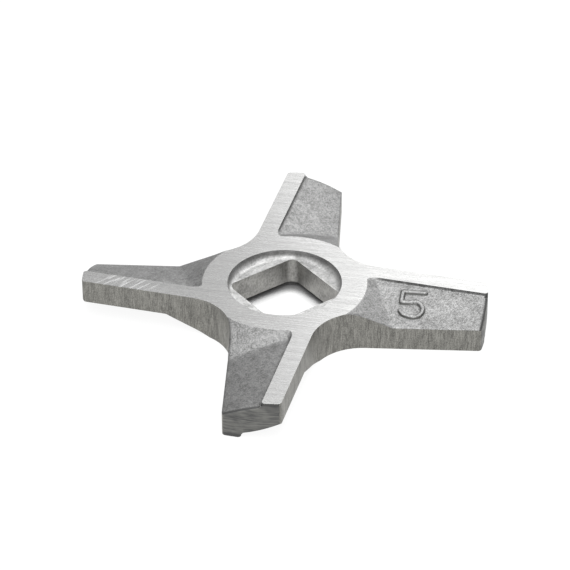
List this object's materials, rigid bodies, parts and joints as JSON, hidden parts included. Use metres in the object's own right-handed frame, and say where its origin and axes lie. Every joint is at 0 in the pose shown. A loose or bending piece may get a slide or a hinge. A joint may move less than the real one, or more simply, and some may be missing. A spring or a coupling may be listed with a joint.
{
  "type": "meat grinder knife",
  "caption": "Cross-shaped, double-sided steel meat grinder knife with ground cutting lands, hollowed cast arms, a round recess in each face and a square drive hole.",
  "frame": {"origin": "centre of the drive hole in the plane of the lower ground face", "axes": "+Z along the axis the knife turns about, towards the face that runs on the plate; the flats of the square hole lie along X and Y, so the four arms lie on the diagonals"},
  "size_m": [0.0378, 0.0378, 0.005],
  "materials": {
    "knife": "cast grey in the hollows, ground bright with fine straight scratches on both faces, ground side walls, turned tips"
  },
  "bodies": {
    "root": {"knife": "knife"}
  },
  "joints": []
}
